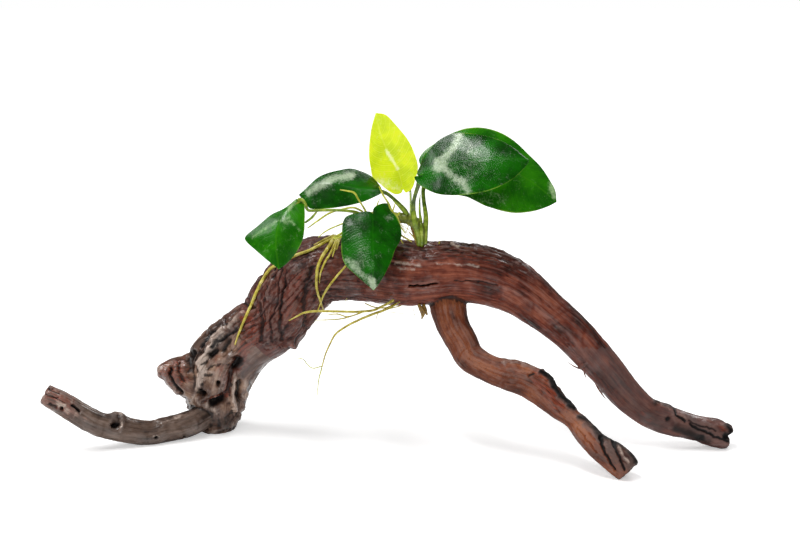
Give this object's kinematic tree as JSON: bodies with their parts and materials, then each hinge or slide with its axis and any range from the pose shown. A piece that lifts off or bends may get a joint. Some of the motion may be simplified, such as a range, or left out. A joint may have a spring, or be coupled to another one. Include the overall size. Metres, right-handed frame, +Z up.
{
  "type": "anubias nana on driftwood",
  "caption": "Small anubias plant with six leaves, a creeping stem and loose roots, growing on an arched driftwood branch that stands on its own feet.",
  "frame": {"origin": "centre of the bounding box, on the surface that the feet stand on", "axes": "+Z up, +X towards the right foot along the length of the wood, -Y towards the side with the front leg"},
  "size_m": [0.3473, 0.104, 0.1678],
  "materials": {
    "driftwood": "damp dark reddish brown driftwood, fluted along the grain",
    "driftwood_orange": "damp orange brown driftwood with a black bark ridge",
    "driftwood_grey": "weathered grey brown root wood with holes and folds",
    "rhizome": "fleshy green creeping stem, slightly shiny",
    "leaf_stalk": "smooth yellow green stalk, slightly shiny",
    "leaf": "leathery dark green leaf with a wet gloss and a thin pale margin",
    "young_leaf": "thin yellow green young leaf that light shines through",
    "root": "smooth yellow green root, brown at some tips"
  },
  "bodies": {
    "root": {"driftwood_arch": "driftwood", "driftwood_right_leg": "driftwood", "driftwood_front_leg": "driftwood_orange", "driftwood_root_knot": "driftwood_grey", "driftwood_left_limb": "driftwood_grey", "driftwood_knot_stub": "driftwood_grey", "rhizome": "rhizome", "leaf_stalk_front_right": "leaf_stalk", "leaf_stalk_rear_right": "leaf_stalk", "leaf_stalk_young": "leaf_stalk", "leaf_stalk_rear_left": "leaf_stalk", "leaf_stalk_far_left": "leaf_stalk", "leaf_stalk_front_middle": "leaf_stalk", "leaf_blade_front_right": "leaf", "leaf_blade_rear_right": "leaf", "leaf_blade_young": "young_leaf", "leaf_blade_rear_left": "leaf", "leaf_blade_far_left": "leaf", "leaf_blade_front_middle": "leaf", "root_long_left": "root", "root_middle": "root", "root_short_right": "root", "root_under_arch": "root", "root_hanging": "root", "root_hair_long": "root", "root_air_left": "root", "root_air_right": "root"}
  },
  "joints": []
}
